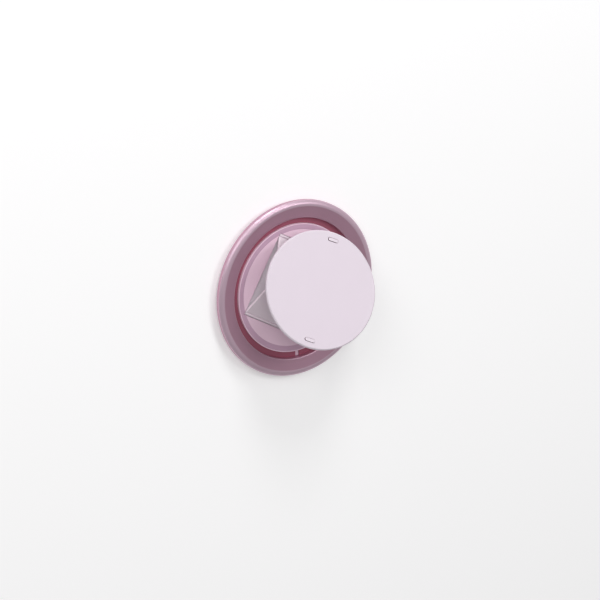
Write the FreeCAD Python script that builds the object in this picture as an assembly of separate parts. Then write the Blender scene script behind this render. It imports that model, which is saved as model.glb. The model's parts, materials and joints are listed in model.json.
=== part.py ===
"""A slim magnetic grip: a pop-up disc on a folding linkage, in a turntable, in a magnet ring.

Units are millimetres and +Z is up. The underside rests on z = 0 with its centre at the origin.
X runs along the hinge pins and Y runs across them. Every moving piece is drawn folded flat and
is then turned about its pins to the open pose, which is the rest pose.
"""
import FreeCAD, Part
import math
import os

# Magnet ring
ring_outer_radius = 29.5
ring_width = 5.8
ring_height = 3.9
ring_band_drop = 0.4
shoulder_width = 1.85
shoulder_height = 0.8
ring_side_height = 1.2
ring_foot_inset = 1.25
ring_wall = 0.7
ring_lip = 0.3
ring_edge_break = 0.2
pad_thickness = 0.4
pad_margin = 1.6
base_plate_thickness = 0.5
channel_width = 3.3
channel_height = 1.65
magnet_count = 16
magnet_thickness = 1.25
magnet_web = 0.8
carrier_wall = 0.3
shunt_thickness = 0.32
seat_clearance = 0.04

# Turntable
groove_width = 2.1
running_clearance = 0.08
slip_washer_thickness = 0.1
slip_washer_width = 5.0
turntable_lift = 0.1
flange_thickness = 0.35
retainer_thickness = 0.25
retainer_split = 1.4
retainer_split_turn = -60
rim_height = 2.5
rim_land = 0.3
rim_slope_width = 2.0
flat_height = 2.28
floor_margin = 0.6
floor_thickness = 0.3
window_inset = 5.3
window_corner_radius = 0.4
rivet_radius = 0.45
rivet_head_radius = 0.8
rivet_head_height = 0.2
rivet_spread = 6.5
catch_magnet_radius = 1.4
catch_skin = 0.3

# Folding linkage, drawn flat
hinge_inset = 5.9
hinge_height = 1.98
knuckle_radius = 0.48
pin_radius = 0.25
pin_clearance = 0.04
pin_reach = 0.9
flap_thickness = 0.65
flap_side_gap = 0.2
flap_edge_chamfer = 0.2
crease_width = 0.25
crease_depth = 0.3
waist_offset = 0.85
waist_height = 2.46
waist_slack = 0.1
notch_clearance = 0.15
link_bottom = 2.56
link_thickness = 0.7
link_outer_half = 9.4
link_inner_half = 3.2
link_shoulder = 2.0
tongue_half = 0.75
tongue_length = 1.2

# Front disc and its two bearings, drawn folded
disc_margin = 0.25
disc_top = 4.5
disc_bottom = 2.65
disc_skin = 0.95
disc_rim_wall = 1.15
disc_edge_thickness = 0.95
disc_edge_chamfer = 0.35
disc_undercut = 0.75
pocket_skin = 0.25
pocket_clearance = 0.45
bar_inset = 2.55
bar_length = 3.5
bar_width = 1.0
bar_proud = 0.2
slot_clearance = 0.1
clip_flange = 0.3
clip_flange_thickness = 0.2
clip_foot_gap = 0.05
pivot_inset = 4.75
pivot_height = 2.98
yoke_cheek = 0.5
yoke_gap = 0.1
yoke_radius = 0.45
yoke_bridge = 0.5
stem_radius = 0.22
stem_clearance = 0.06
stem_set_back = 0.15
float_height = 0.5
float_side = 0.14
catch_plate_thickness = 0.3

# Open pose: the place of the disc's top centre, its pitch in degrees, and what it clears as it rolls
open_shift = 3.1
open_height = 16.2
open_pitch = 17.5
roll_clearance = 1.75

# Heights and radii that follow from the sizes above
base_top = pad_thickness + base_plate_thickness
ring_bore_radius = ring_outer_radius - ring_width
crest_radius = ring_outer_radius - shoulder_width
bore_edge_height = ring_height - ring_band_drop
foot_radius = ring_outer_radius - ring_foot_inset
plate_seat_radius = foot_radius - ring_lip
channel_inner = ring_bore_radius + ring_wall
channel_outer = channel_inner + channel_width
channel_top = base_top + channel_height
magnet_inner = channel_inner + seat_clearance + carrier_wall
magnet_outer = channel_outer - seat_clearance - carrier_wall
magnet_top = base_top + magnet_thickness
rim_radius = ring_bore_radius - groove_width
flange_radius = ring_bore_radius - running_clearance
dish_bottom = base_top + slip_washer_thickness + turntable_lift
flange_top = dish_bottom + flange_thickness
retainer_bottom = flange_top + turntable_lift
flat_radius = rim_radius - rim_slope_width
floor_radius = flat_radius - floor_margin
floor_top = dish_bottom + floor_thickness
window_half = flat_radius - window_inset
hinge_y = flat_radius - hinge_inset
window_end = hinge_y + knuckle_radius + notch_clearance
fixing_x = (window_half + floor_radius) / 2
flap_half = window_half - flap_side_gap
flap_top = flat_height - seat_clearance
flap_bottom = flap_top - flap_thickness
link_top = link_bottom + link_thickness
disc_radius = flat_radius - disc_margin
disc_ceiling = disc_top - disc_skin
recess_radius = disc_radius - disc_rim_wall
pocket_top = disc_top - pocket_skin
pivot_y = disc_radius - pivot_inset
bar_y = disc_radius - bar_inset
clip_foot = disc_bottom + clip_foot_gap
yoke_half = tongue_half + yoke_gap + yoke_cheek

X_AXIS = FreeCAD.Vector(1, 0, 0)
Y_AXIS = FreeCAD.Vector(0, 1, 0)
Z_AXIS = FreeCAD.Vector(0, 0, 1)
ORIGIN = FreeCAD.Vector(0, 0, 0)


def turned(outline):
    """Revolve a closed wire that lies in the XZ plane about Z."""
    return Part.Face(outline).revolve(ORIGIN, Z_AXIS, 360)


def turned_points(points):
    """Revolve a polygon of (radius, height) corners about Z."""
    corners = [FreeCAD.Vector(radius, 0, height) for radius, height in points]
    return turned(Part.makePolygon(corners + corners[:1]))


def washer(inner, outer, bottom, top):
    """Make a flat ring, or a round plate where the inner radius is zero."""
    return turned_points([(inner, bottom), (outer, bottom), (outer, top), (inner, top)])


def sector(inner, outer, bottom, top, start, sweep):
    """Make the part of a flat ring from one angle over a sweep, in degrees."""
    corners = [(inner, bottom), (outer, bottom), (outer, top), (inner, top), (inner, bottom)]
    face = Part.Face(Part.makePolygon([FreeCAD.Vector(r, 0, z) for r, z in corners]))
    face.rotate(ORIGIN, Z_AXIS, start)
    return face.revolve(ORIGIN, Z_AXIS, sweep)


def block(x0, x1, y0, y1, z0, z1):
    """Make a box between two corners."""
    return Part.makeBox(x1 - x0, y1 - y0, z1 - z0, FreeCAD.Vector(x0, y0, z0))


def rod_x(x0, x1, y, z, radius):
    """Make a cylinder along X."""
    return Part.makeCylinder(radius, x1 - x0, FreeCAD.Vector(x0, y, z), X_AXIS)


def rod_y(y0, y1, z, radius):
    """Make a cylinder along Y, over the Y axis."""
    return Part.makeCylinder(radius, y1 - y0, FreeCAD.Vector(0, y0, z), Y_AXIS)


def rod_z(x, y, bottom, top, radius):
    """Make an upright cylinder."""
    return Part.makeCylinder(radius, top - bottom, FreeCAD.Vector(x, y, bottom), Z_AXIS)


def prism(points, bottom, top):
    """Raise a polygon of (x, y) corners between two heights."""
    corners = [FreeCAD.Vector(x, y, bottom) for x, y in points]
    face = Part.Face(Part.makePolygon(corners + corners[:1]))
    return face.extrude(FreeCAD.Vector(0, 0, top - bottom))


def stadium(length, width, y, bottom, top):
    """Make an upright bar with rounded ends, its long side along X."""
    end = width / 2
    straight = length / 2 - end
    bar = block(-straight, straight, y - end, y + end, bottom, top)
    caps = [rod_z(side * straight, y, bottom, top, end) for side in (-1, 1)]
    return bar.fuse(caps).removeSplitter()


def joined(first, *others):
    """Fuse shapes into one clean solid."""
    return first.fuse(list(others)).removeSplitter()


def cut_all(shape, tools):
    """Cut every tool from a shape."""
    return shape.cut(Part.makeCompound(tools))


def half_turned(shape):
    """Copy a piece of the upper arm to the lower arm, half a turn round Z."""
    copy = shape.copy()
    copy.rotate(ORIGIN, Z_AXIS, 180)
    return copy


def both_sides(x, y_values):
    """Give the (x, y) places on the left and the right at each y."""
    return [(side * x, y) for side in (-1, 1) for y in y_values]


# Magnet ring

def outer_ring():
    """A turned ring with a rounded shoulder, an undercut foot and a magnet channel underneath."""
    def at(radius, height):
        return FreeCAD.Vector(radius, 0, height)

    shoulder_z = ring_height - shoulder_height
    lean = math.sqrt(0.5)
    middle = at(crest_radius + lean * shoulder_width, shoulder_z + lean * shoulder_height)
    crest = at(crest_radius, ring_height)
    shoulder = at(ring_outer_radius, shoulder_z)
    over = Part.makePolygon([
        at(ring_bore_radius, base_top),
        at(ring_bore_radius, bore_edge_height - ring_edge_break),
        at(ring_bore_radius + ring_edge_break, bore_edge_height),
        crest,
    ])
    under = Part.makePolygon([
        shoulder,
        at(ring_outer_radius, shoulder_z - ring_side_height),
        at(foot_radius, pad_thickness),
        at(plate_seat_radius, pad_thickness),
        at(plate_seat_radius, base_top),
        at(channel_outer, base_top),
        at(channel_outer, channel_top),
        at(channel_inner, channel_top),
        at(channel_inner, base_top),
        at(ring_bore_radius, base_top),
    ])
    round_edge = Part.Arc(crest, middle, shoulder).toShape()
    return turned(Part.Wire(over.Edges + [round_edge] + under.Edges))


def base_plate():
    return washer(0, plate_seat_radius - seat_clearance, pad_thickness, base_top)


def grip_pad():
    return washer(0, ring_outer_radius - pad_margin, 0, pad_thickness)


def magnet_places():
    """Give each magnet's start angle, and the angle that it covers."""
    pitch = 360 / magnet_count
    web = math.degrees(magnet_web / magnet_inner)
    return [index * pitch + web / 2 for index in range(magnet_count)], pitch - web


def ring_magnets():
    starts, sweep = magnet_places()
    gap = math.degrees(seat_clearance / magnet_inner)
    inner = magnet_inner + seat_clearance
    outer = magnet_outer - seat_clearance
    return Part.makeCompound([
        sector(inner, outer, base_top, magnet_top, start + gap, sweep - 2 * gap) for start in starts
    ])


def magnet_carrier():
    """A ladder ring that keeps the magnets apart."""
    starts, sweep = magnet_places()
    ring = washer(channel_inner + seat_clearance, channel_outer - seat_clearance, base_top, magnet_top)
    pockets = [sector(magnet_inner, magnet_outer, 0, ring_height, start, sweep) for start in starts]
    return cut_all(ring, pockets)


def steel_shunt():
    bottom = magnet_top + seat_clearance
    inner = channel_inner + seat_clearance
    return washer(inner, channel_outer - seat_clearance, bottom, bottom + shunt_thickness)


def slip_washer():
    return washer(flange_radius - slip_washer_width, flange_radius, base_top, base_top + slip_washer_thickness)


def retaining_ring():
    """A split ring in the bore, over the turntable's flange."""
    inner = rim_radius + running_clearance
    outer = ring_bore_radius - seat_clearance
    top = retainer_bottom + retainer_thickness
    gap = math.degrees(retainer_split / ring_bore_radius)
    return sector(inner, outer, retainer_bottom, top, retainer_split_turn + gap, 360 - gap)


# Turntable

def turntable_dish():
    """A dished plate with a square window that the folded arms lie in."""
    dish = turned_points([
        (0, dish_bottom),
        (flange_radius, dish_bottom),
        (flange_radius, flange_top),
        (rim_radius, flange_top),
        (rim_radius, rim_height),
        (rim_radius - rim_land, rim_height),
        (flat_radius, flat_height),
        (0, flat_height),
    ])
    window = block(-window_half, window_half, -window_end, window_end, floor_top, ring_height)
    upright = [edge for edge in window.Edges if abs(edge.tangentAt(edge.FirstParameter).z) > 0.5]
    window = window.makeFillet(window_corner_radius, upright)
    recess = rod_z(0, 0, 0, floor_top, floor_radius + seat_clearance)
    reach = window_half + pin_reach
    pins = [rod_x(-reach, reach, side * hinge_y, hinge_height, pin_radius + seat_clearance) for side in (-1, 1)]
    rivets = [rod_z(x, y, 0, rivet_top(), rivet_radius + seat_clearance) for x, y in rivet_places()]
    magnets = [
        rod_z(x, y, 0, flat_height - catch_skin, catch_magnet_radius + seat_clearance)
        for x, y in both_sides(fixing_x, [0])
    ]
    return cut_all(dish, [window, recess] + pins + rivets + magnets)


def rivet_places():
    return both_sides(fixing_x, [-rivet_spread, rivet_spread])


def rivet_top():
    return flat_height - catch_skin


def rivet(x, y, clearance):
    """A countersunk rivet, or with a clearance the hole for one."""
    shank = rod_z(x, y, dish_bottom, rivet_top() - seat_clearance, rivet_radius + clearance)
    head = Part.makeCone(
        rivet_head_radius + clearance,
        rivet_radius + clearance,
        rivet_head_height,
        FreeCAD.Vector(x, y, dish_bottom),
        Z_AXIS,
    )
    return joined(shank, head)


def floor_rivets():
    return Part.makeCompound([rivet(x, y, 0) for x, y in rivet_places()])


def floor_plate():
    plate = washer(0, floor_radius, dish_bottom, floor_top)
    return cut_all(plate, [rivet(x, y, seat_clearance) for x, y in rivet_places()])


def catch_magnets():
    top = flat_height - catch_skin - seat_clearance
    return Part.makeCompound([
        rod_z(x, y, floor_top, top, catch_magnet_radius) for x, y in both_sides(fixing_x, [0])
    ])


def hinge_pin():
    reach = window_half + pin_reach - seat_clearance
    return rod_x(-reach, reach, hinge_y, hinge_height, pin_radius)


# Arms: each is a flap on the turntable and a link on the flap

def flap_knuckles():
    """Give the X ranges of the flap's knuckles at the waist."""
    inner = link_inner_half - waist_slack
    outer = link_outer_half + waist_slack
    return [(-flap_half, -outer), (-inner, inner), (outer, flap_half)]


def link_knuckles():
    """Give the X ranges of the link's knuckles at the waist."""
    return [(-link_outer_half, -link_inner_half), (link_inner_half, link_outer_half)]


def flap():
    """A plate with a full barrel at the hinge and three knuckles at the waist."""
    inset = flap_half - flap_edge_chamfer
    shoulder = flap_top - flap_edge_chamfer
    section = [
        (-flap_half, flap_bottom),
        (flap_half, flap_bottom),
        (flap_half, shoulder),
        (inset, flap_top),
        (-inset, flap_top),
        (-flap_half, shoulder),
    ]
    corners = [FreeCAD.Vector(x, waist_offset, z) for x, z in section]
    face = Part.Face(Part.makePolygon(corners + corners[:1]))
    plate = face.extrude(FreeCAD.Vector(0, hinge_y - waist_offset, 0))
    crease_y = hinge_y - knuckle_radius - crease_width
    crease = block(-flap_half, flap_half, crease_y, hinge_y, flap_top - crease_depth, ring_height)
    notches = [
        rod_x(x0 - waist_slack, x1 + waist_slack, waist_offset, waist_height, knuckle_radius + notch_clearance)
        for x0, x1 in link_knuckles()
    ]
    barrel = rod_x(-flap_half, flap_half, hinge_y, hinge_height, knuckle_radius)
    knuckles = [rod_x(x0, x1, waist_offset, waist_height, knuckle_radius) for x0, x1 in flap_knuckles()]
    body = joined(cut_all(plate, [crease] + notches), barrel, *knuckles)
    bore = pin_radius + pin_clearance
    hinge_bore = rod_x(-flap_half, flap_half, hinge_y, hinge_height, bore)
    waist_bore = rod_x(-flap_half, flap_half, waist_offset, waist_height, pin_radius + seat_clearance)
    return cut_all(body, [hinge_bore, waist_bore])


def waist_pin():
    return rod_x(-flap_half, flap_half, waist_offset, waist_height, pin_radius)


def link():
    """A tapering plate with two knuckles at the waist and a barrel at its tongue."""
    side = [
        (link_outer_half, waist_offset),
        (link_outer_half, waist_offset + link_shoulder),
        (tongue_half, pivot_y - tongue_length),
        (tongue_half, pivot_y),
    ]
    outline = side + [(-x, y) for x, y in reversed(side)]
    plate = prism(outline, link_bottom, link_top)
    notch = rod_x(
        -link_inner_half, link_inner_half, waist_offset, waist_height, knuckle_radius + notch_clearance
    )
    knuckles = [rod_x(x0, x1, waist_offset, waist_height, knuckle_radius) for x0, x1 in link_knuckles()]
    barrel = rod_x(-tongue_half, tongue_half, pivot_y, pivot_height, yoke_radius)
    body = joined(plate.cut(notch), barrel, *knuckles)
    bore = pin_radius + pin_clearance
    waist_bore = rod_x(-link_outer_half, link_outer_half, waist_offset, waist_height, bore)
    pivot_bore = rod_x(-tongue_half, tongue_half, pivot_y, pivot_height, bore)
    return cut_all(body, [waist_bore, pivot_bore])


def yoke():
    """A small fork round the link's tongue, with a stem that the disc rolls on."""
    inner = tongue_half + yoke_gap
    bridge_y = pivot_y + yoke_radius + notch_clearance
    stem_end = bar_y + bar_width / 2 - stem_set_back
    body = block(-yoke_half, yoke_half, bridge_y, bridge_y + yoke_bridge,
                 pivot_height - yoke_radius, pivot_height + yoke_radius)
    for x in (-yoke_half, inner):
        eye = rod_x(x, x + yoke_cheek, pivot_y, pivot_height, yoke_radius)
        arm = block(x, x + yoke_cheek, pivot_y, bridge_y,
                    pivot_height - yoke_radius, pivot_height + yoke_radius)
        body = joined(body, eye, arm)
    body = joined(body, rod_y(bridge_y, stem_end, pivot_height, stem_radius))
    return body.cut(rod_x(-yoke_half, yoke_half, pivot_y, pivot_height, pin_radius + seat_clearance))


def pivot_pin():
    return rod_x(-yoke_half, yoke_half, pivot_y, pivot_height, pin_radius)


# Front disc

def front_disc():
    """A thin cap with a chamfered edge, hollow underneath for the folded links."""
    edge = disc_top - disc_edge_chamfer
    cap = turned_points([
        (0, disc_ceiling),
        (recess_radius, disc_ceiling),
        (recess_radius, disc_bottom),
        (disc_radius - disc_undercut, disc_bottom),
        (disc_radius, disc_top - disc_edge_thickness),
        (disc_radius, edge),
        (disc_radius - disc_edge_chamfer, disc_top),
        (0, disc_top),
    ])
    slot = stadium(bar_length + 2 * slot_clearance, bar_width + 2 * slot_clearance,
                   bar_y, disc_bottom, disc_top + disc_skin)
    pocket_half = yoke_half + pocket_clearance
    pocket_start = pivot_y - tongue_length - pocket_clearance
    pocket = block(-pocket_half, pocket_half, pocket_start, bar_y, disc_bottom, pocket_top)
    tools = [slot, pocket]
    return cut_all(cap, tools + [half_turned(tool) for tool in tools])


def bearing_clip(side_float, bore_rise):
    """A snap bearing whose bar shows in the disc's slot, with a bore that may let the stem float."""
    bar = stadium(bar_length, bar_width, bar_y, clip_foot, disc_top + bar_proud)
    flange_top_z = disc_ceiling - seat_clearance
    flange = stadium(bar_length + 2 * clip_flange, bar_width + 2 * clip_flange,
                     bar_y, flange_top_z - clip_flange_thickness, flange_top_z)
    y0 = bar_y - bar_width
    y1 = bar_y + bar_width
    bore = stem_radius + stem_clearance + side_float
    tools = [rod_y(y0, y1, pivot_height + rise, bore) for rise in (0, bore_rise)]
    mouth = block(-bore, bore, y0, y1, disc_bottom, pivot_height + bore_rise)
    return cut_all(joined(bar, flange), tools + [mouth])


def upper_bearing_clip():
    return bearing_clip(0, 0)


def lower_bearing_clip():
    return half_turned(bearing_clip(float_side, float_height))


def catch_plates():
    top = disc_ceiling - seat_clearance
    return Part.makeCompound([
        rod_z(x, y, top - catch_plate_thickness, top, catch_magnet_radius)
        for x, y in both_sides(fixing_x, [0])
    ])


# Open pose

def elbow(start, end, first, second, side):
    """Find the middle pivot of two bars, as (y, z), on the given side of the line between ends."""
    dy = end[0] - start[0]
    dz = end[1] - start[1]
    span = math.hypot(dy, dz)
    along = (first ** 2 - second ** 2 + span ** 2) / (2 * span)
    off = math.sqrt(first ** 2 - along ** 2) * side
    return (start[0] + (along * dy - off * dz) / span, start[1] + (along * dz + off * dy) / span)


def heading(start, end):
    """Give the direction from one (y, z) point to another, in degrees about X."""
    return math.degrees(math.atan2(end[1] - start[1], end[0] - start[0]))


def turn_between(flat, opened):
    """Give the turn about X that takes one pair of points to another, from -180 to 180."""
    return (heading(*opened) - heading(*flat) + 180) % 360 - 180


def open_point(y, z):
    """Give where a point of the disc's middle plane goes in the open pose, as (y, z)."""
    pitch = math.radians(-open_pitch)
    rise = z - pivot_height
    top = disc_top - pivot_height
    centre_y = open_shift + top * math.sin(pitch)
    centre_z = open_height - top * math.cos(pitch)
    return (
        centre_y + y * math.cos(pitch) - rise * math.sin(pitch),
        centre_z + y * math.sin(pitch) + rise * math.cos(pitch),
    )


def open_waist_point(side):
    """Give where an arm's waist goes in the open pose, as (y, z)."""
    hinge = (side * hinge_y, hinge_height)
    waist = (side * waist_offset, waist_height)
    pivot = (side * pivot_y, pivot_height)
    return elbow(hinge, open_point(*pivot), math.dist(hinge, waist), math.dist(waist, pivot), side)


def arm_turns(side):
    """Give one arm's turns about X from flat to open: flap, link on flap, yoke on link."""
    hinge = (side * hinge_y, hinge_height)
    waist = (side * waist_offset, waist_height)
    pivot = (side * pivot_y, pivot_height)
    open_pivot = open_point(*pivot)
    open_waist = open_waist_point(side)
    flap_turn = turn_between((hinge, waist), (hinge, open_waist))
    link_turn = turn_between((waist, pivot), (open_waist, open_pivot))
    return flap_turn, link_turn - flap_turn, -open_pitch - link_turn


def open_roll():
    """Give the roll, in degrees, that brings the disc's ceiling to its clearance over the upper waist."""
    pitch = math.radians(open_pitch)
    waist_y, waist_z = open_waist_point(1)
    middle_y, middle_z = open_point(0, pivot_height)
    level = (waist_y - middle_y) * math.sin(pitch) + (waist_z - middle_z) * math.cos(pitch) + knuckle_radius
    room = disc_ceiling - pivot_height - roll_clearance
    return math.degrees(math.asin(room / math.hypot(level, flap_half)) - math.atan2(level, flap_half))


def spun(y, z, axis, angle):
    """Give the placement that turns about an axis through a point of the middle plane."""
    return FreeCAD.Placement(ORIGIN, FreeCAD.Rotation(axis, angle), FreeCAD.Vector(0, y, z))


def arm_places(side, share):
    """Give the placements of an arm's flap, link and yoke at a share of the opening."""
    turns = arm_turns(side)
    flap_place = spun(side * hinge_y, hinge_height, X_AXIS, turns[0] * share)
    link_place = flap_place * spun(side * waist_offset, waist_height, X_AXIS, turns[1] * share)
    yoke_place = link_place * spun(side * pivot_y, pivot_height, X_AXIS, turns[2] * share)
    return flap_place, link_place, yoke_place


def body_places(share):
    """Give every moving body's placement, from folded flat at 0 to open at 1."""
    upper = arm_places(1, share)
    lower = arm_places(-1, share)
    roll = spun(0, pivot_height, Y_AXIS, -open_roll() * share)
    return {
        "base": FreeCAD.Placement(),
        "turntable": FreeCAD.Placement(),
        "upper_flap": upper[0],
        "upper_link": upper[1],
        "upper_yoke": upper[2],
        "front_disc": upper[2] * roll,
        "lower_flap": lower[0],
        "lower_link": lower[1],
        "lower_yoke": lower[2],
    }


def flat_pieces():
    """Make every piece folded flat, under the body that carries it."""
    upper_flap = flap()
    upper_link = link()
    upper_yoke = yoke()
    return {
        "base": {
            "outer_ring": outer_ring(),
            "base_plate": base_plate(),
            "grip_pad": grip_pad(),
            "ring_magnets": ring_magnets(),
            "magnet_carrier": magnet_carrier(),
            "steel_shunt": steel_shunt(),
            "slip_washer": slip_washer(),
            "retaining_ring": retaining_ring(),
        },
        "turntable": {
            "turntable_dish": turntable_dish(),
            "floor_plate": floor_plate(),
            "floor_rivets": floor_rivets(),
            "catch_magnets": catch_magnets(),
            "upper_hinge_pin": hinge_pin(),
            "lower_hinge_pin": half_turned(hinge_pin()),
        },
        "upper_flap": {"upper_flap": upper_flap, "upper_waist_pin": waist_pin()},
        "upper_link": {"upper_link": upper_link},
        "upper_yoke": {"upper_yoke": upper_yoke, "upper_pivot_pin": pivot_pin()},
        "front_disc": {
            "front_disc": front_disc(),
            "upper_bearing_clip": upper_bearing_clip(),
            "lower_bearing_clip": lower_bearing_clip(),
            "catch_plates": catch_plates(),
        },
        "lower_flap": {
            "lower_flap": half_turned(upper_flap),
            "lower_waist_pin": half_turned(waist_pin()),
        },
        "lower_link": {"lower_link": half_turned(upper_link)},
        "lower_yoke": {"lower_yoke": half_turned(upper_yoke), "lower_pivot_pin": half_turned(pivot_pin())},
    }


def main():
    os.makedirs("parts", exist_ok=True)
    places = body_places(1)
    for body, pieces in flat_pieces().items():
        for name, shape in pieces.items():
            placed = shape.copy()
            placed.transformShape(places[body].toMatrix())
            placed.exportStep(os.path.join("parts", name + ".step"))
            print(name, "volume", round(placed.Volume, 2), "solids", len(placed.Solids))


main()
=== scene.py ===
# %% [markdown]
# A slim magnetic grip: a satin pink ring, a turntable dish in it, and a thin round disc that stands up on
# two folding arms. The solid model already has every piece at its real size, so this lesson loads it as a
# fixed frame and works on what the eye sees: softened edges, fine grain, satin metal and plain studio
# light.

# %% Load the frame
import json
import math

import bmesh
import bpy
from mathutils import Matrix, Vector
from mathutils.bvhtree import BVHTree


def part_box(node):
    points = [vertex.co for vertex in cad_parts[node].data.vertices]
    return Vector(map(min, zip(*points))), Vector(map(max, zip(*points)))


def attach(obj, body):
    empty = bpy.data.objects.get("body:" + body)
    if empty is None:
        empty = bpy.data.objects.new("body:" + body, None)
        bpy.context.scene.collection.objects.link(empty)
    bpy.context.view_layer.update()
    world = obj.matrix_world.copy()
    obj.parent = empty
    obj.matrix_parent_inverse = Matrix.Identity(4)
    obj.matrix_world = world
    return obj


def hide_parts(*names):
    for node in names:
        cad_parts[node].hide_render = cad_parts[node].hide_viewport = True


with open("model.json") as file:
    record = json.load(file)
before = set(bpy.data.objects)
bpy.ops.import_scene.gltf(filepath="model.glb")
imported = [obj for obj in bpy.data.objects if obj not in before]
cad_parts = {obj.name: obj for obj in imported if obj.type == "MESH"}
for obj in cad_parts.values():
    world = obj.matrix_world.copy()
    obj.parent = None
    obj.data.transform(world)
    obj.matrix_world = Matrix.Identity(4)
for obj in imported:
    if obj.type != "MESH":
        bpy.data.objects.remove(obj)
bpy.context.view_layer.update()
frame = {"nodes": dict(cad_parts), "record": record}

MM = 0.001
bodies = frame["record"]["behaviour"]["bodies"]
body_of = {node: body for body, nodes in bodies.items() for node in nodes}
slot_of = {entry["node"]: entry["material_slot"] for entry in frame["record"]["subparts"]}
print("pieces in the frame:", len(body_of))

# %% [markdown]
# Every coating here has a fine grain, about a quarter of a millimetre across, with finer grain in it. A
# noise texture gives it, and because several finishes need it, it is a node group with a Scale and two
# results: a height for bump and a shade that spreads the roughness. An image texture could do the same,
# but noise needs no unwrapping.

# %% Fine grain group
GRAIN_DETAIL = 3.0
NOISE_LOW, NOISE_HIGH = 0.3, 0.7


def new_group(name, inputs, outputs):
    """Start a shader group with float or colour sockets, and return its tree and end nodes."""
    tree = bpy.data.node_groups.new(name, "ShaderNodeTree")
    for label, kind, value in inputs:
        socket = tree.interface.new_socket(label, in_out="INPUT", socket_type=kind)
        socket.default_value = value
    for label, kind in outputs:
        tree.interface.new_socket(label, in_out="OUTPUT", socket_type=kind)
    return tree, tree.nodes.new("NodeGroupInput"), tree.nodes.new("NodeGroupOutput")


def fine_grain_group():
    """Noise in object space: a height for bump and a shade from 0 to 1."""
    tree, start, end = new_group(
        "fine_grain",
        [("Scale", "NodeSocketFloat", 4000.0)],
        [("Height", "NodeSocketFloat"), ("Shade", "NodeSocketFloat")],
    )
    place = tree.nodes.new("ShaderNodeTexCoord")
    grain = tree.nodes.new("ShaderNodeTexNoise")
    grain.inputs["Detail"].default_value = GRAIN_DETAIL
    spread = tree.nodes.new("ShaderNodeMapRange")
    spread.inputs["From Min"].default_value = NOISE_LOW
    spread.inputs["From Max"].default_value = NOISE_HIGH
    tree.links.new(place.outputs["Object"], grain.inputs["Vector"])
    tree.links.new(start.outputs["Scale"], grain.inputs["Scale"])
    tree.links.new(grain.outputs["Fac"], end.inputs["Height"])
    tree.links.new(grain.outputs["Fac"], spread.inputs["Value"])
    tree.links.new(spread.outputs["Result"], end.inputs["Shade"])
    return tree


fine_grain = fine_grain_group()
print("group:", fine_grain.name)

# %% [markdown]
# A dyed or moulded surface is never one even colour: it drifts by a percent or two over several
# millimetres. This group takes a colour and gives it back a little lighter and darker in soft clouds.
# Clouds could be painted too, but all finishes share this effect, and a group lets each one choose how
# much of it to use.

# %% Tone drift group
CLOUD_DETAIL = 2.0
NOISE_MIDDLE = 0.5
SAME_TONE = 1.0


def tone_drift_group():
    """Lighten and darken a colour in soft clouds."""
    tree, start, end = new_group(
        "tone_drift",
        [
            ("Color", "NodeSocketColor", (0.8, 0.8, 0.8, 1.0)),
            ("Amount", "NodeSocketFloat", 0.03),
            ("Scale", "NodeSocketFloat", 120.0),
        ],
        [("Color", "NodeSocketColor")],
    )
    place = tree.nodes.new("ShaderNodeTexCoord")
    cloud = tree.nodes.new("ShaderNodeTexNoise")
    cloud.inputs["Detail"].default_value = CLOUD_DETAIL
    centre = tree.nodes.new("ShaderNodeMath")
    centre.operation = "SUBTRACT"
    centre.inputs[1].default_value = NOISE_MIDDLE
    size = tree.nodes.new("ShaderNodeMath")
    size.operation = "MULTIPLY_ADD"
    size.inputs[2].default_value = SAME_TONE
    shift = tree.nodes.new("ShaderNodeHueSaturation")
    tree.links.new(place.outputs["Object"], cloud.inputs["Vector"])
    tree.links.new(start.outputs["Scale"], cloud.inputs["Scale"])
    tree.links.new(cloud.outputs["Fac"], centre.inputs[0])
    tree.links.new(centre.outputs[0], size.inputs[0])
    tree.links.new(start.outputs["Amount"], size.inputs[1])
    tree.links.new(size.outputs[0], shift.inputs["Value"])
    tree.links.new(start.outputs["Color"], shift.inputs["Color"])
    tree.links.new(shift.outputs["Color"], end.inputs["Color"])
    return tree


tone_drift = tone_drift_group()
print("group:", tone_drift.name)

# %% [markdown]
# All finishes are built from one recipe: drifted colour, roughness spread by the grain, and the grain as
# bump. Each could have its own node tree, but one function keeps them alike and leaves only plain values
# to choose. Colours are written from 0 to 255, as a screen shows them, and a shader needs them as linear
# light.

# %% Finish recipe
GRAIN_SPREAD = 0.06
BUMP_STRENGTH = 0.6


def linear(red, green, blue):
    """Turn a colour written from 0 to 255 into linear light, by the standard curve of screen colours."""
    def one(value):
        share = value / 255
        return share / 12.92 if share <= 0.04045 else ((share + 0.055) / 1.055) ** 2.4

    return (one(red), one(green), one(blue), 1.0)


def place_group(tree, group):
    """Place a node group in the tree of a material."""
    node = tree.nodes.new("ShaderNodeGroup")
    node.node_tree = group
    return node


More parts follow.
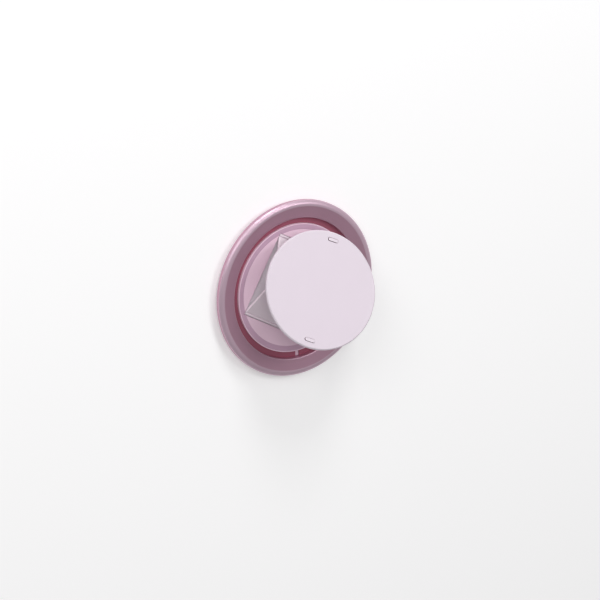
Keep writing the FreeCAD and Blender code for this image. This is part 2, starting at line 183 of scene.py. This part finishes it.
def finish(name, colour, rough, grain, depth, drift=0.05, metal=0.0):
    """Make a grained finish. Grain is the scale of the noise, and depth its height in millimetres."""
    material = bpy.data.materials.new(name)
    material.use_nodes = True
    tree = material.node_tree
    shader = tree.nodes["Principled BSDF"]
    shader.inputs["Metallic"].default_value = metal
    tone = place_group(tree, tone_drift)
    tone.inputs["Color"].default_value = linear(*colour)
    tone.inputs["Amount"].default_value = drift
    tree.links.new(tone.outputs["Color"], shader.inputs["Base Color"])
    noise = place_group(tree, fine_grain)
    noise.inputs["Scale"].default_value = grain
    gloss = tree.nodes.new("ShaderNodeMapRange")
    gloss.inputs["To Min"].default_value = rough - GRAIN_SPREAD
    gloss.inputs["To Max"].default_value = rough + GRAIN_SPREAD
    tree.links.new(noise.outputs["Shade"], gloss.inputs["Value"])
    tree.links.new(gloss.outputs["Result"], shader.inputs["Roughness"])
    bump = tree.nodes.new("ShaderNodeBump")
    bump.inputs["Strength"].default_value = BUMP_STRENGTH
    bump.inputs["Distance"].default_value = depth * MM
    tree.links.new(noise.outputs["Height"], bump.inputs["Height"])
    tree.links.new(bump.outputs["Normal"], shader.inputs["Normal"])
    return material


print("mid grey, 128 of 255, as linear light:", round(linear(128, 128, 128)[0], 3))

# %% [markdown]
# What differs from finish to finish is written in one table, with a row for each material slot of the
# solids. An edge that is often touched is smoother than the faces beside it. Its twin is also a little
# different in tone: mostly paler, a painted highlight along the rounded edges, and darker on the dish. A
# mask in the shader could look for edges, but here each finish has a twin for the rounded edges, which is
# simpler and can be set for each slot.

# %% Finishes with edges
EDGE_POLISH = 0.06


def with_edge(name, colour, edge, rough, grain, depth, **more):
    """Make a finish and its smoother twin for rounded edges, whose tone mostly paints a highlight."""
    face = finish(name, colour, rough, grain, depth, **more)
    rim = finish(name + "_edge", edge, rough - EDGE_POLISH, grain, depth / 2, **more)
    return face, rim


# In each row the second colour is for the rounded edges; where it is paler, it is a painted highlight.
finishes = {
    "ring_pink": with_edge(
        "satin_anodised_pink", (204, 162, 182), (216, 182, 198),
        rough=0.48, grain=5200, depth=0.03, metal=0.85),
    "dish_pink": with_edge(
        "matte_dish_pink", (245, 214, 231), (208, 174, 196),
        rough=0.55, grain=4200, depth=0.02),
    "disc_pink": with_edge(
        "matte_disc_pink", (227, 215, 226), (246, 239, 244),
        rough=0.5, grain=4600, depth=0.015, drift=0.03),
    "arm_pink": with_edge(
        "coated_arm_pink", (243, 230, 238), (246, 239, 244),
        rough=0.48, grain=4200, depth=0.015),
    "clip_pink": with_edge(
        "smooth_clip_pink", (229, 217, 228), (240, 231, 238),
        rough=0.42, grain=5200, depth=0.01),
    "floor_grey": with_edge(
        "blasted_floor_grey", (243, 237, 242), (245, 241, 245),
        rough=0.5, grain=6000, depth=0.015, metal=0.1),
    "base_grey": with_edge(
        "rolled_base_grey", (150, 146, 150), (188, 184, 188),
        rough=0.4, grain=3200, depth=0.01, metal=0.9),
    "pad_grey": with_edge(
        "soft_pad_grey", (92, 88, 92), (104, 100, 104),
        rough=0.75, grain=2600, depth=0.03, drift=0.08),
    "magnet_nickel": with_edge(
        "nickel_plate", (196, 192, 186), (222, 220, 214),
        rough=0.25, grain=3600, depth=0.006, metal=1.0),
    "carrier_grey": with_edge(
        "moulded_carrier_grey", (104, 100, 106), (128, 124, 130),
        rough=0.6, grain=3800, depth=0.02),
    "pin_steel": with_edge(
        "ground_pin_steel", (178, 176, 178), (210, 208, 210),
        rough=0.3, grain=4800, depth=0.006, metal=1.0),
}
print("finishes:", ", ".join(finishes))

# %% [markdown]
# Most edges of the solids are sharp, but a real edge has a small radius that catches the light. Before the
# edges of the main pieces can be rounded, their creases have to be found. A copy of each mesh gets its
# flat faces merged, and an edge where the surface turns sharply is then a crease. The crest of the ring
# and the two circles of the dish's rim turn too little for that and are known by their radius. Modelling
# the pieces again by eye would need no such search, but it would not keep their sizes.

# %% Find the creases
# Gaps and radii are in millimetres, and turns in degrees.
WELD_GAP = 0.001
FLAT_TURN = 0.4
CREASE_TURN = 28
SHALLOW_TURN = 2
CIRCLE_GAP = 0.02
CREST_RADIUS = 27.65
RIM_INNER, RIM_OUTER = 19.6, 21.6
edge_radii = {
    "outer_ring": 0.12,
    "turntable_dish": 0.1,
    "front_disc": 0.2,
    "upper_flap": 0.06,
    "lower_flap": 0.06,
    "upper_link": 0.06,
    "lower_link": 0.06,
    "upper_bearing_clip": 0.08,
    "lower_bearing_clip": 0.08,
    "grip_pad": 0.12,
}
shallow_creases = {"outer_ring": (CREST_RADIUS,), "turntable_dish": (RIM_INNER, RIM_OUTER)}


def on_circle(edge, circles):
    """True if a level edge lies on one of the circles about the ring's axis, given in millimetres."""
    start, end = [vert.co / MM for vert in edge.verts]
    reaches = (start.xy.length, end.xy.length)
    level = abs(start.z - end.z) < CIRCLE_GAP
    return level and any(max(abs(reach - circle) for reach in reaches) < CIRCLE_GAP for circle in circles)


def creased_copy(node, circles):
    """Copy the mesh of a node, merge its flat faces and mark its creases for the bevel."""
    mesh = frame["nodes"][node].data.copy()
    shape = bmesh.new()
    shape.from_mesh(mesh)
    bmesh.ops.remove_doubles(shape, verts=shape.verts, dist=WELD_GAP * MM)
    bmesh.ops.dissolve_limit(
        shape,
        angle_limit=math.radians(FLAT_TURN),
        verts=shape.verts,
        edges=shape.edges,
        use_dissolve_boundaries=False,
    )
    weight = shape.edges.layers.float.new("bevel_weight_edge")
    for edge in shape.edges:
        turn = math.degrees(edge.calc_face_angle(0.0))
        shallow = turn > SHALLOW_TURN and on_circle(edge, circles)
        edge[weight] = 1.0 if turn > CREASE_TURN or shallow else 0.0
    shape.to_mesh(mesh)
    shape.free()
    return mesh


creased = {}
for node in edge_radii:
    creased[node] = creased_copy(node, shallow_creases.get(node, ()))
    marks = creased[node].attributes["bevel_weight_edge"].data
    print(node, "creased edges", sum(mark.value > 0 for mark in marks))

# %% [markdown]
# A bevel modifier now gives each crease its radius and puts the edge finish on the new faces, and
# weighted normals keep flat faces flat to the eye. A bevel node in the shader could fake the same
# highlight, but it would not be in the mesh, and the next steps pick some of the new faces by where they
# lie.

# %% Round the edges
BEVEL_STEPS = 3
LARGE_FACE_WEIGHT = 100
FACE_FINISH, EDGE_FINISH = 0, 1


def dress(piece, slot):
    """Smooth a piece and give it the finish of its material slot, with the edge finish as its second one."""
    piece.data.materials.clear()
    for material in finishes[slot]:
        piece.data.materials.append(material)
    for face in piece.data.polygons:
        face.use_smooth = True
        face.material_index = FACE_FINISH


def softened(node, radius):
    """Replace a node by its creased copy with rounded edges; the radius is in millimetres."""
    piece = bpy.data.objects.new(node + "_soft", creased[node])
    bpy.context.scene.collection.objects.link(piece)
    bevel = piece.modifiers.new("edge_radius", "BEVEL")
    bevel.width = radius * MM
    bevel.segments = BEVEL_STEPS
    bevel.limit_method = "WEIGHT"
    bevel.use_clamp_overlap = True
    bevel.miter_outer = "MITER_ARC"
    bevel.material = EDGE_FINISH
    level = piece.modifiers.new("level_faces", "WEIGHTED_NORMAL")
    level.weight = LARGE_FACE_WEIGHT
    level.keep_sharp = True
    dress(piece, slot_of[node])
    bpy.context.view_layer.update()
    rounded = bpy.data.meshes.new_from_object(piece.evaluated_get(bpy.context.evaluated_depsgraph_get()))
    piece.modifiers.clear()
    piece.data = rounded
    rounded.name = piece.name
    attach(piece, body_of[node])
    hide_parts(node)
    return piece


pieces = {}
for node, radius in edge_radii.items():
    pieces[node] = softened(node, radius)
    print(pieces[node].name, "faces", len(pieces[node].data.polygons))

# %% [markdown]
# The dish has a narrow sloped band round its rim, painted a little darker than the flat: painted shade.
# The ring's shoulder is painted paler than its inner slope, a painted highlight, and its finish is a
# little smoother and less metallic. A mask in the shader could give both, but the solids already have
# these borders, so whole faces get another finish. They are found by their distance from the axis: that
# of the face's middle, or of its corners where faces are long.

# %% Rim band and shoulder
# The upper part starts at a height in millimetres. A rise is the upward part of a normal of length 1.
UPPER_PART = 2.0
RIM_RISE = 0.9
SHOULDER_RISE = 0.3
# The rim band's darker colour is painted shade, and the shoulder's paler colour is a painted highlight.
rim_shade_paint = finish("painted_rim_shade", (206, 170, 193), rough=0.5, grain=4200, depth=0.02)
shoulder = finish("painted_shoulder_light", (220, 190, 207), rough=0.43, grain=5200, depth=0.03, metal=0.65)


def recolour(piece, faces, material):
    """Give some faces of a piece one more material, and return how many they are."""
    if material.name not in piece.data.materials:
        piece.data.materials.append(material)
    for face in faces:
        face.material_index = piece.data.materials.find(material.name)
    return len(faces)


def top_faces(piece, rise):
    """The faces in the upper part of a piece whose normals have more than the given rise."""
    return [face for face in piece.data.polygons if face.normal.z > rise and face.center.z > UPPER_PART * MM]


def corner_reach(piece, face):
    """The mean distance of a face's corners from the axis, in millimetres."""
    corners = [piece.data.vertices[index].co.xy.length for index in face.vertices]
    return sum(corners) / len(corners) / MM


dish, ring = pieces["turntable_dish"], pieces["outer_ring"]
rim_faces = [
    face for face in top_faces(dish, RIM_RISE)
    if RIM_INNER < face.center.xy.length / MM < RIM_OUTER
]
shoulder_faces = [face for face in top_faces(ring, SHOULDER_RISE) if corner_reach(ring, face) > CREST_RADIUS]
print("rim band faces:", recolour(dish, rim_faces, rim_shade_paint))
print("shoulder faces:", recolour(ring, shoulder_faces, shoulder))

# %% [markdown]
# The disc's chamfer gets a smoother and paler finish than the face, a painted highlight that draws a
# bright line round the disc. Its faces could be picked one by one, but that is lost with each new mesh.
# So they are found by rule: they are far from the disc's middle, and face neither the same way as the
# disc nor sideways.

# %% Disc edge
# The reach is in millimetres. A lean is the part of a normal that points the same way as the disc.
CHAMFER_REACH = 18.3
LEAST_LEAN, MOST_LEAN = 0.2, 0.97
# This pale colour is a painted highlight along the chamfer.
edge_glint_paint = finish("painted_disc_edge_glint", (252, 248, 251), rough=0.3, grain=4600, depth=0.006, drift=0.03)

disc = pieces["front_disc"]
facing = max(disc.data.polygons, key=lambda face: face.area).normal.copy()
disc_low, disc_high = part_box("front_disc")
middle = (Vector(disc_low) + Vector(disc_high)) / 2
outer_faces = [face for face in disc.data.polygons if (face.center - middle).length / MM > CHAMFER_REACH]
chamfer = [face for face in outer_faces if LEAST_LEAN < face.normal.dot(facing) < MOST_LEAN]
print("disc edge faces:", recolour(disc, chamfer, edge_glint_paint))

# %% [markdown]
# Two small bars stand in slots of the disc, and shade draws a dark line round them. The gaps are so
# narrow that light alone hardly draws that line, so the faces along them get painted shade, a darker
# colour. The disc's rounded edge faces that lie close to a bar are found with a search tree, and a bar's
# own walls by how they turn away from the disc's face.

# %% Slot edges
SLOT_REACH = 0.6
WALL_LEAN = 0.8
# This dark colour is painted shade in the gaps round the bars.
slot_shade_paint = finish("painted_slot_shade", (110, 66, 84), rough=0.6, grain=4200, depth=0.02)


def edges_near(piece, other, reach):
    """The rounded edge faces of a piece that lie within reach, in millimetres, of another piece."""
    corners = [vert.co for vert in other.data.vertices]
    tree = BVHTree.FromPolygons(corners, [list(face.vertices) for face in other.data.polygons])
    rounded = [face for face in piece.data.polygons if face.material_index == EDGE_FINISH]
    return [face for face in rounded if tree.find_nearest(face.center)[3] < reach * MM]


for name in ("upper_bearing_clip", "lower_bearing_clip"):
    bar = pieces[name]
    walls = [face for face in bar.data.polygons if abs(face.normal.dot(facing)) < WALL_LEAN]
    slot_count = recolour(disc, edges_near(disc, bar, SLOT_REACH), slot_shade_paint)
    print(name, "slot edge faces:", slot_count, "wall faces:", recolour(bar, walls, slot_shade_paint))

# %% [markdown]
# The pieces inside the ring and the small pins are right as they are. They could be softened too, but
# hardly an edge of them shows. They keep their meshes and only get their finish, so that an open or
# turned view shows real steel, nickel and grey plastic. The retaining ring lies at the bottom of the
# groove, in shade and in light bounced from pink wall to pink wall, and both are painted into its
# deeper rose colour.

# %% Finish the other pieces
SHARP_TURN = 30
# The deeper rose is painted shade and bounce light in the groove.
groove_shade_paint = finish("painted_groove_shade", (182, 106, 126), rough=0.5, grain=5200, depth=0.02, metal=0.6)

kept = {node: piece for node, piece in frame["nodes"].items() if node not in pieces}
for node, piece in kept.items():
    dress(piece, slot_of[node])
    piece.data.set_sharp_from_angle(angle=math.radians(SHARP_TURN))
kept["retaining_ring"].data.materials[FACE_FINISH] = groove_shade_paint
print("kept nodes:", len(kept))

# %% [markdown]
# The camera looks at the dish from its left, turned so that the hinge pins run down to the right. Its
# lens and distance come from the ring's size in the picture: about three pixels for each millimetre.
# Aiming it at a target would be simpler, but its own two directions, to the right and towards it, also
# set how it is turned.

# %% Camera
IMAGE_PIXELS = 600
FOCAL_PIXELS = 2930
CAMERA_DISTANCE = 0.95
ORIGIN_PIXEL = (291.2, 285.9)
right = Vector((0.7353, 0.4064, 0.544)).normalized()
towards = Vector((-0.6046, 0.0263, 0.797)).normalized()
up = towards.cross(right).normalized()
right = up.cross(towards).normalized()

camera_data = bpy.data.cameras.new("camera")
camera_data.sensor_width = 36.0
camera_data.lens = FOCAL_PIXELS / IMAGE_PIXELS * camera_data.sensor_width
camera_data.clip_start = 0.01
camera_data.clip_end = 20.0
camera = bpy.data.objects.new("camera", camera_data)
bpy.context.scene.collection.objects.link(camera)
half = IMAGE_PIXELS / 2
metre_per_pixel = CAMERA_DISTANCE / FOCAL_PIXELS
eye = towards * CAMERA_DISTANCE
eye -= right * (ORIGIN_PIXEL[0] - half) * metre_per_pixel
eye -= up * (half - ORIGIN_PIXEL[1]) * metre_per_pixel
camera.matrix_world = Matrix.Translation(eye) @ Matrix((right, up, towards)).transposed().to_4x4()
bpy.context.scene.camera = camera
print("lens", round(camera_data.lens, 1), "mm")

# %% [markdown]
# The stage is a wide pale floor. A floor lit to white by lamps alone would wash out the object on it. So
# the floor glows, but only for the camera and for reflections, which see it almost white. The light that
# bounces off it is that of pale card, and the object keeps its shadow and its own colours.

# %% Floor
# The size is in metres, and the drop in millimetres.
FLOOR_SIZE = 6.0
FLOOR_DROP = 0.02
CARD_COLOUR = (0.86, 0.855, 0.86, 1.0)
CARD_ROUGHNESS = 0.9
NO_GLOW = (0.0, 0.0, 0.0, 1.0)
CARD_GLOW = (0.25, 0.25, 0.25, 1.0)


def seen_or_mirrored(tree):
    """A socket that is 1 for rays from the camera, from a reflection or through glass, and else 0."""
    ray = tree.nodes.new("ShaderNodeLightPath")
    seen = ray.outputs["Is Camera Ray"]
    for kind in ("Is Glossy Ray", "Is Transmission Ray"):
        either = tree.nodes.new("ShaderNodeMath")
        either.operation = "MAXIMUM"
        tree.links.new(seen, either.inputs[0])
        tree.links.new(ray.outputs[kind], either.inputs[1])
        seen = either.outputs[0]
    return seen


def pale_card():
    """Make the floor's material."""
    material = bpy.data.materials.new("pale_card")
    material.use_nodes = True
    tree = material.node_tree
    shader = tree.nodes["Principled BSDF"]
    shader.inputs["Base Color"].default_value = CARD_COLOUR
    shader.inputs["Roughness"].default_value = CARD_ROUGHNESS
    shader.inputs["Emission Strength"].default_value = 1.0
    glow = tree.nodes.new("ShaderNodeMix")
    glow.data_type = "RGBA"
    glow.inputs["A"].default_value = NO_GLOW
    glow.inputs["B"].default_value = CARD_GLOW
    tree.links.new(seen_or_mirrored(tree), glow.inputs["Factor"])
    tree.links.new(glow.outputs["Result"], shader.inputs["Emission Color"])
    return material


def stage_floor(size):
    """Make a square floor, its size in metres, just under the object."""
    mesh = bpy.data.meshes.new("stage_floor")
    edge = size / 2
    corners = [(-edge, -edge, 0), (edge, -edge, 0), (edge, edge, 0), (-edge, edge, 0)]
    mesh.from_pydata(corners, [], [(0, 1, 2, 3)])
    mesh.materials.append(pale_card())
    floor = bpy.data.objects.new("stage_floor", mesh)
    bpy.context.scene.collection.objects.link(floor)
    floor.location.z = -FLOOR_DROP * MM
    return floor


floor = stage_floor(FLOOR_SIZE)
print("floor", floor.name)

# %% [markdown]
# The main light comes from the upper left of the picture, past the raised hinge, so the ring's inner
# slope falls into shade. A second lamp, higher up, makes the highlight on the shoulder. A broad fill, a
# lamp over the dish that makes no highlight, and a pale world keep the shadows open. One picture of a
# studio as the world could give all this at once, but single lamps are easier to move and to dim.

# %% Lights
SKY_COLOUR = (1.0, 1.0, 1.0, 1.0)
SKY_STRENGTH = 0.3


def soft_lamp(name, direction, distance, size, power, shines=True):
    """Add a square lamp that faces the object; one that does not shine makes no highlight."""
    data = bpy.data.lights.new(name, "AREA")
    data.size = size
    data.energy = power
    lamp = bpy.data.objects.new(name, data)
    bpy.context.scene.collection.objects.link(lamp)
    way = Vector(direction).normalized()
    lamp.location = way * distance
    lamp.rotation_euler = way.to_track_quat("Z", "Y").to_euler()
    lamp.visible_glossy = shines


soft_lamp("key", (-0.44, 0.78, 0.45), distance=0.9, size=0.26, power=2.4)
soft_lamp("strip", (0.14, 0.54, 0.82), distance=0.9, size=0.3, power=1.8)
soft_lamp("fill", (-0.8, 0.18, 0.57), distance=1.0, size=0.4, power=2.0)
soft_lamp("top", (-0.45, 0.1, 0.89), distance=1.0, size=0.3, power=1.1, shines=False)

world = bpy.data.worlds.new("studio")
world.use_nodes = True
sky = world.node_tree.nodes["Background"]
sky.inputs["Color"].default_value = SKY_COLOUR
sky.inputs["Strength"].default_value = SKY_STRENGTH
bpy.context.scene.world = world
bpy.context.scene.view_settings.view_transform = "Standard"
print("lamps", [lamp.name for lamp in bpy.data.lights])
